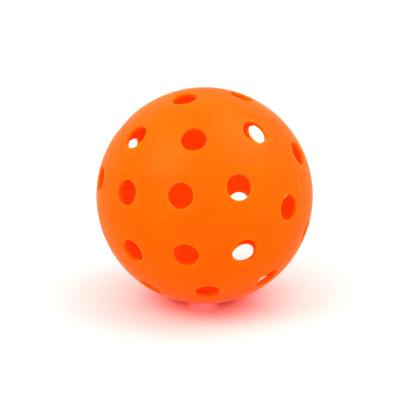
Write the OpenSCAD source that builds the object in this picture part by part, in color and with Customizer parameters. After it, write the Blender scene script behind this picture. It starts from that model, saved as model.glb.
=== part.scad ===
// Perforated court ball: two identical moulded half shells, turned over against
// each other and butt welded at the equator. Millimetres, origin at the centre of
// the ball, +Z up. The poles of the two halves lie level, on -Y and +Y, and the weld
// is in the XZ plane.

/* [Ball] */
// outer diameter of the ball
ball_d = 74; // [73:0.2:75.4]
// thickness of the moulded wall
wall = 1.7; // [1.5:0.1:2.2]

/* [Holes] */
// diameter of each hole through the wall
hole_d = 8.6; // [7.6:0.1:9]
// size of the broken edge at both mouths of a hole
edge_break = 0.35; // [0.2:0.05:0.5]
// angle between the pole and the four holes around it
pole_ring_angle = 23; // [21:0.5:25]
// angle between the pole and the eight holes of the middle ring
middle_ring_angle = 51; // [49:0.5:53]
// angle between the pole and the eight holes beside the weld
weld_ring_angle = 78; // [76:0.5:79]
// turn of the whole hole pattern about the line through the poles
pattern_turn = 50.6; // [0:0.2:90]
// turn of the back half's holes against the front half's, about the same line
half_turn = 23.4; // [0:0.9:45]

/* [Weld] */
// width of the band that the weld remelts
weld_w = 1.2; // [0.8:0.1:1.6]
// how far the bead stands in from the wall inside the ball
bead_h = 0.6; // [0.3:0.1:0.9]
// depth of the witness line outside
witness = 0.05; // [0.05:0.05:0.2]

/* [Hidden] */
$fn = 96;
hole_fn = 40;
ball_r = ball_d / 2;
inner_r = ball_r - wall;
hole_r = hole_d / 2;
// height of a hole's two mouths along its own line
outer_mouth = sqrt(pow(ball_r, 2) - pow(hole_r, 2));
inner_mouth = sqrt(pow(inner_r, 2) - pow(hole_r, 2));
// how far a hole's tool reaches past the wall
reach = 1;
shell_colour = [1, 0.43, 0.05];
weld_colour = [0.95, 0.36, 0.03];
// each ring of one half: angle from the pole, number of holes, turn of its first hole
rings = [
    [pole_ring_angle, 4, 0],
    [middle_ring_angle, 8, 22.5],
    [weld_ring_angle, 8, 0]
];

// one hole's tool along +Z: a bore with a broken edge at both faces of the wall
module hole_tool() {
    translate([0, 0, inner_r - reach])
        cylinder(h = wall + 2 * reach, r = hole_r, $fn = hole_fn);
    translate([0, 0, outer_mouth - 2 * edge_break])
        cylinder(
            h = 2 * edge_break + reach,
            r1 = hole_r - edge_break,
            r2 = hole_r + edge_break + reach,
            $fn = hole_fn
        );
    translate([0, 0, inner_mouth - reach])
        cylinder(
            h = 2 * edge_break + reach,
            r1 = hole_r + edge_break + reach,
            r2 = hole_r - edge_break,
            $fn = hole_fn
        );
}

// the holes of one half, around +Z
module hole_tools() {
    for (ring = rings)
        for (i = [0 : ring[1] - 1])
            rotate([0, 0, ring[2] + i * 360 / ring[1]])
                rotate([0, ring[0], 0])
                    hole_tool();
}

// the moulding: half a hollow sphere with its pole on +Z and its rim half a weld
// band short of the equator
module moulding() {
    difference() {
        sphere(r = ball_r);
        sphere(r = inner_r);
        translate([-ball_d, -ball_d, weld_w / 2 - 2 * ball_d])
            cube([2 * ball_d, 2 * ball_d, 2 * ball_d]);
        hole_tools();
    }
}

module front_shell() {
    color(shell_colour)
        rotate([90, 0, 0])
            rotate([0, 0, pattern_turn])
                moulding();
}

// the same moulding, turned over about a line in the plane of the weld
module back_shell() {
    color(shell_colour)
        rotate([90, 0, 0])
            rotate([0, 0, pattern_turn + half_turn / 2])
                rotate([180, 0, 0])
                    rotate([0, 0, -half_turn / 2])
                        moulding();
}

// the remelted band that joins the two rims, with its bead inside the ball
module weld_bead() {
    color(weld_colour)
        rotate([90, 0, 0])
            rotate_extrude()
                polygon([
                    [inner_r - bead_h, -weld_w / 4],
                    [inner_r, -weld_w / 2],
                    [ball_r - witness, -weld_w / 2],
                    [ball_r - witness, weld_w / 2],
                    [inner_r, weld_w / 2],
                    [inner_r - bead_h, weld_w / 4]
                ]);
}

front_shell();
back_shell();
weld_bead();
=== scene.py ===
import math

import bpy
from mathutils import Matrix, Vector


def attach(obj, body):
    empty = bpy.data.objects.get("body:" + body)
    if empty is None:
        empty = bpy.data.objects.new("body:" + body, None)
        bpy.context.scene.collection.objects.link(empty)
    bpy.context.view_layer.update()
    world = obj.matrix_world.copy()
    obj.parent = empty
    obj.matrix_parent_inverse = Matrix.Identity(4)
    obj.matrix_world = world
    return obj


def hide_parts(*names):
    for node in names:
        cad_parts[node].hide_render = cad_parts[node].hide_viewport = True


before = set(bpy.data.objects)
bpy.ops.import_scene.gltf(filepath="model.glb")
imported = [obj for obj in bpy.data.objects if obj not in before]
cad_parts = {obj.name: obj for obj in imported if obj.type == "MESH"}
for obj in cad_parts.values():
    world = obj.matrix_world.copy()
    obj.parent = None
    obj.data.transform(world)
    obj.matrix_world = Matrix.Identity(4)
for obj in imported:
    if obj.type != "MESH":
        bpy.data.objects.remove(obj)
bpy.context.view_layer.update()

# ---------------------------------------------------------------- the picture
# A camera 0.7 m away, to the right of the front pole, looks a little down on the ball.
# The long lens keeps the ball's outline round.
view_turn = math.radians(28.1)
view_rise = math.radians(18.2)
view_distance = 0.7
towards_camera = Vector(
    (
        math.sin(view_turn) * math.cos(view_rise),
        -math.cos(view_turn) * math.cos(view_rise),
        math.sin(view_rise),
    )
)
bpy.ops.object.select_all(action="DESELECT")
bpy.ops.object.camera_add(location=view_distance * towards_camera)
camera = bpy.context.object
camera.rotation_euler = (-towards_camera).to_track_quat("-Z", "Y").to_euler()
camera.data.lens = 184.3
camera.data.sensor_width = 36
camera.data.shift_x = -0.0115
camera.data.shift_y = -0.0114
camera.data.clip_start = 0.01
bpy.context.scene.camera = camera

# ---------------------------------------------------------------- the floor
# A plain pale pink matt board that the ball lies on, bright enough to look white. It is
# kept out of the shine on the plastic, which would otherwise look chalky.
ball_radius = 0.037
board_side = 1.5
bpy.ops.object.select_all(action="DESELECT")
bpy.ops.mesh.primitive_plane_add(size=board_side, location=(0, 0, -ball_radius))
floor = bpy.context.object
floor.name = "floor"
bpy.ops.object.transform_apply(location=True, rotation=True, scale=True)
board = bpy.data.materials.new("white_board")
board.use_nodes = True
board_shader = board.node_tree.nodes["Principled BSDF"]
board_shader.inputs["Base Color"].default_value = (0.95, 0.79, 0.78, 1)
board_shader.inputs["Roughness"].default_value = 0.6
board_shader.inputs["Specular IOR Level"].default_value = 0.1
floor.data.materials.append(board)
floor.visible_glossy = False

# ---------------------------------------------------------------- the light
# A tent of warm cloth, bright overhead and at the horizon and dimmer between, with a
# soft lamp above on the left and a larger one behind on the right. Only the lamps show
# in the shine. The inside of the ball is lit through its holes, after many bounces.
tent = bpy.data.worlds.new("white_tent")
tent.use_nodes = True
tent_nodes = tent.node_tree.nodes
tent_links = tent.node_tree.links
direction = tent_nodes.new("ShaderNodeTexCoord")
height = tent_nodes.new("ShaderNodeSeparateXYZ")
cloth = tent_nodes.new("ShaderNodeValToRGB")
tent_links.new(direction.outputs["Generated"], height.inputs["Vector"])
tent_links.new(height.outputs["Z"], cloth.inputs["Fac"])
tent_links.new(cloth.outputs["Color"], tent_nodes["Background"].inputs["Color"])
# heights are sines of the angle above the horizon
cloth_green = 0.64
cloth_blue = 0.63
dim_part = 0.25
horizon_band_top, dim_band_start, dim_band_end, overhead_start = 0.055, 0.075, 0.3, 0.55
cloth.color_ramp.elements[0].position = horizon_band_top
cloth.color_ramp.elements[0].color = (1, cloth_green, cloth_blue, 1)
cloth.color_ramp.elements[1].position = overhead_start
cloth.color_ramp.elements[1].color = (1, cloth_green, cloth_blue, 1)
for band_edge in (dim_band_start, dim_band_end):
    stop = cloth.color_ramp.elements.new(band_edge)
    stop.color = (dim_part, cloth_green * dim_part, cloth_blue * dim_part, 1)
tent_nodes["Background"].inputs["Strength"].default_value = 2.35
bpy.context.scene.world = tent
bpy.context.scene.view_settings.view_transform = "Standard"
bpy.context.scene.cycles.diffuse_bounces = 12
bpy.context.scene.cycles.max_bounces = 16
tent.cycles_visibility.glossy = False


def soft_lamp(name, place, size, power):
    bpy.ops.object.select_all(action="DESELECT")
    bpy.ops.object.light_add(type="AREA", location=place)
    lamp = bpy.context.object
    lamp.name = name
    lamp.data.size = size
    lamp.data.energy = power
    lamp.data.color = (1, 0.64, 0.62)
    lamp.rotation_euler = (-Vector(place)).to_track_quat("-Z", "Y").to_euler()


soft_lamp("key_lamp", (-0.42, -0.72, 0.87), 0.6, 6)
soft_lamp("side_lamp", (0.56, 0.3, 1.02), 0.9, 7)

# ---------------------------------------------------------------- half shells
# The ball is two identical injection mouldings of tough orange plastic. Each is half
# a hollow sphere with a pole ring of four holes and two rings of eight, all with a
# slightly rounded mouth inside and out.
wall = 0.0017
weld_width = 0.0012
hole_radius = 0.0043
mouth_round = 0.0004
# each ring: its angle from the pole, its number of holes, the turn of its first hole
rings = (
    (math.radians(23.0), 4, 0.0),
    (math.radians(51.0), 8, math.radians(22.5)),
    (math.radians(78.0), 8, 0.0),
)


def finish_mesh(target):
    # merges points that lie on each other and turns every face outwards
    same_point = 1e-7
    bpy.ops.object.select_all(action="DESELECT")
    bpy.context.view_layer.objects.active = target
    target.select_set(True)
    bpy.ops.object.mode_set(mode="EDIT")
    bpy.ops.mesh.select_all(action="SELECT")
    bpy.ops.mesh.remove_doubles(threshold=same_point)
    bpy.ops.mesh.normals_make_consistent(inside=False)
    bpy.ops.mesh.select_all(action="DESELECT")
    bpy.ops.object.mode_set(mode="OBJECT")


# the cutter for one hole: a bore whose two mouths flare as quarter rounds. Its ends
# reach past both faces of the wall, and the mouths sit where the curved faces meet it.
cutter_sides = 64
cutter_reach = 0.0012
cutter_end_radius = hole_radius + 3 * mouth_round
flare_steps = 5
flare_start = math.radians(14)
mouth = [
    flare_start + (math.pi / 2 - flare_start) * i / flare_steps
    for i in range(flare_steps + 1)
]
outer_face = ball_radius
inner_face = ball_radius - wall
drop = 0.5 * hole_radius**2 / ball_radius
profile = []
profile.append((cutter_end_radius, outer_face + cutter_reach))
for angle in mouth:
    profile.append(
        (
            hole_radius + mouth_round * (1 - math.sin(angle)),
            outer_face - drop - mouth_round * (1 - math.cos(angle)),
        )
    )
for angle in reversed(mouth):
    profile.append(
        (
            hole_radius + mouth_round * (1 - math.sin(angle)),
            inner_face - drop + mouth_round * (1 - math.cos(angle)),
        )
    )
profile.append((cutter_end_radius, inner_face - drop - cutter_reach))

bpy.ops.object.select_all(action="DESELECT")
bpy.ops.mesh.primitive_circle_add(
    vertices=cutter_sides, radius=profile[0][0], fill_type="NGON", location=(0, 0, 0)
)
cutter = bpy.context.object
bpy.ops.object.mode_set(mode="EDIT")
bpy.ops.mesh.select_all(action="SELECT")
bpy.ops.transform.translate(value=(0, 0, profile[0][1]))
for (last_r, last_z), (r, z) in zip(profile, profile[1:]):
    bpy.ops.mesh.extrude_region_move(
        TRANSFORM_OT_translate={"value": (0, 0, z - last_z)}
    )
    bpy.ops.transform.resize(value=(r / last_r, r / last_r, 1), center_override=(0, 0, z))
bpy.ops.object.mode_set(mode="OBJECT")
finish_mesh(cutter)

cutters = []
for ring_angle, count, first in rings:
    for i in range(count):
        one = cutter.copy()
        one.data = cutter.data.copy()
        bpy.context.collection.objects.link(one)
        one.matrix_world = Matrix.Rotation(
            first + i * 2 * math.pi / count, 4, "Z"
        ) @ Matrix.Rotation(ring_angle, 4, "Y")
        cutters.append(one)
bpy.data.objects.remove(cutter)
bpy.ops.object.select_all(action="DESELECT")
for one in cutters:
    one.select_set(True)
bpy.context.view_layer.objects.active = cutters[0]
bpy.ops.object.join()
bpy.ops.object.transform_apply(location=True, rotation=True, scale=True)
hole_cutters = bpy.context.object

bpy.ops.object.select_all(action="DESELECT")
ball_segments = 192
bpy.ops.mesh.primitive_uv_sphere_add(
    segments=ball_segments, ring_count=ball_segments // 2, radius=ball_radius
)
moulding = bpy.context.object
bpy.ops.object.mode_set(mode="EDIT")
bpy.ops.mesh.select_all(action="SELECT")
bpy.ops.mesh.bisect(
    plane_co=(0, 0, weld_width / 2), plane_no=(0, 0, 1), clear_inner=True
)
bpy.ops.object.mode_set(mode="OBJECT")
bpy.ops.object.modifier_add(type="SOLIDIFY")
thickness = moulding.modifiers[-1]
thickness.thickness = wall
thickness.offset = -1
thickness.use_even_offset = True
bpy.ops.object.modifier_apply(modifier=thickness.name)
bpy.ops.object.modifier_add(type="BOOLEAN")
piercing = moulding.modifiers[-1]
piercing.operation = "DIFFERENCE"
piercing.solver = "EXACT"
piercing.object = hole_cutters
bpy.ops.object.modifier_apply(modifier=piercing.name)
bpy.data.objects.remove(hole_cutters)
finish_mesh(moulding)

# satin orange plastic: a little light passes through the wall, the colour is a touch
# uneven, and the mould's fine grain breaks up the shine
shell_plastic = bpy.data.materials.new("orange_plastic")
shell_plastic.use_nodes = True
plastic_nodes = shell_plastic.node_tree.nodes
plastic_links = shell_plastic.node_tree.links
plastic_shader = plastic_nodes["Principled BSDF"]
plastic_shader.inputs["IOR"].default_value = 1.5
plastic_shader.inputs["Specular Tint"].default_value = (1.0, 0.5, 0.12, 1)
plastic_shader.inputs["Subsurface Weight"].default_value = 1.0
plastic_shader.inputs["Subsurface Radius"].default_value = (1.0, 1.0, 0.2)
plastic_shader.inputs["Subsurface Scale"].default_value = 0.005
plastic_shader.inputs["Sheen Weight"].default_value = 0.45
plastic_shader.inputs["Sheen Roughness"].default_value = 0.3
plastic_shader.inputs["Sheen Tint"].default_value = (1.0, 0.8, 0.5, 1)
place_on_ball = plastic_nodes.new("ShaderNodeTexCoord")


def plastic_noise(scale, detail):
    noise = plastic_nodes.new("ShaderNodeTexNoise")
    noise.inputs["Scale"].default_value = scale
    noise.inputs["Detail"].default_value = detail
    plastic_links.new(place_on_ball.outputs["Object"], noise.inputs["Vector"])
    return noise.outputs["Fac"]


def blend_between(factor, low, high):
    ramp = plastic_nodes.new("ShaderNodeValToRGB")
    ramp.color_ramp.elements[0].position = 0.35
    ramp.color_ramp.elements[0].color = low
    ramp.color_ramp.elements[1].position = 0.65
    ramp.color_ramp.elements[1].color = high
    plastic_links.new(factor, ramp.inputs["Fac"])
    return ramp.outputs["Color"]


flow_colour = blend_between(
    plastic_noise(55, 2), (1.0, 0.134, 0.0012, 1), (1.0, 0.148, 0.0019, 1)
)
plastic_links.new(flow_colour, plastic_shader.inputs["Base Color"])
shine = blend_between(
    plastic_noise(260, 4), (0.34, 0.34, 0.34, 1), (0.42, 0.42, 0.42, 1)
)
plastic_links.new(shine, plastic_shader.inputs["Roughness"])
grain = plastic_nodes.new("ShaderNodeBump")
grain.inputs["Strength"].default_value = 0.35
grain.inputs["Distance"].default_value = 0.00004
plastic_links.new(plastic_noise(2200, 3), grain.inputs["Height"])
ripple = plastic_nodes.new("ShaderNodeBump")
ripple.inputs["Strength"].default_value = 0.3
ripple.inputs["Distance"].default_value = 0.0002
plastic_links.new(plastic_noise(120, 1), ripple.inputs["Height"])
plastic_links.new(ripple.outputs["Normal"], grain.inputs["Normal"])
plastic_links.new(grain.outputs["Normal"], plastic_shader.inputs["Normal"])
moulding.data.materials.clear()
moulding.data.materials.append(shell_plastic)
bpy.ops.object.select_all(action="DESELECT")
moulding.select_set(True)
bpy.context.view_layer.objects.active = moulding
sharp_edge = math.radians(35)
bpy.ops.object.shade_smooth_by_angle(angle=sharp_edge)

# the poles lie level, and the back half is turned over and turned on against the front
pattern_turn = math.radians(50.6)
half_turn = math.radians(23.4)
level = Matrix.Rotation(math.radians(90), 4, "X")
places = {
    "front_half": level @ Matrix.Rotation(pattern_turn, 4, "Z"),
    "back_half": level
    @ Matrix.Rotation(pattern_turn + half_turn / 2, 4, "Z")
    @ Matrix.Rotation(math.pi, 4, "X")
    @ Matrix.Rotation(-half_turn / 2, 4, "Z"),
}
for name, place in places.items():
    half = moulding.copy()
    half.data = moulding.data.copy()
    half.name = name
    bpy.context.collection.objects.link(half)
    half.matrix_world = place
    bpy.ops.object.select_all(action="DESELECT")
    half.select_set(True)
    bpy.context.view_layer.objects.active = half
    bpy.ops.object.transform_apply(location=True, rotation=True, scale=True)
    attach(half, "root")
    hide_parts("front_shell" if name == "front_half" else "back_shell")
bpy.data.objects.remove(moulding)

# ---------------------------------------------------------------- the weld
# The two rims are melted together. The band of remelted plastic fills the joint, with
# a rounded bead inside the ball and a hardly visible line outside.
witness_depth = 0.00002
bead_height = 0.0006
weld_sides = 24
weld_outer = ball_radius - witness_depth
weld_inner = ball_radius - wall - bead_height
bpy.ops.object.select_all(action="DESELECT")
bpy.ops.mesh.primitive_circle_add(
    vertices=weld_sides, radius=weld_width / 2, fill_type="NOTHING", location=(0, 0, 0)
)
weld = bpy.context.object
weld.name = "weld_line"
for corner in weld.data.vertices:
    x, y, z = corner.co
    if x > 0:
        corner.co = (math.sqrt(weld_outer**2 - y**2), y, 0)
    else:
        corner.co = (weld_inner + weld_width / 2 + x, y, 0)
bpy.ops.object.mode_set(mode="EDIT")
bpy.ops.mesh.select_all(action="SELECT")
bpy.ops.mesh.spin(
    steps=ball_segments,
    angle=2 * math.pi,
    center=(0, 0, 0),
    axis=(0, 1, 0),
    use_auto_merge=True,
)
bpy.ops.object.mode_set(mode="OBJECT")
finish_mesh(weld)
bpy.ops.object.shade_smooth_by_angle(angle=sharp_edge)
weld_plastic = shell_plastic.copy()
weld_plastic.name = "remelted_plastic"
weld_shader = weld_plastic.node_tree.nodes["Principled BSDF"]
weld_shader.inputs["Subsurface Weight"].default_value = 0
weld_shader.inputs["Sheen Weight"].default_value = 0.3
weld.data.materials.append(weld_plastic)
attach(weld, "root")
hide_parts("weld_bead")
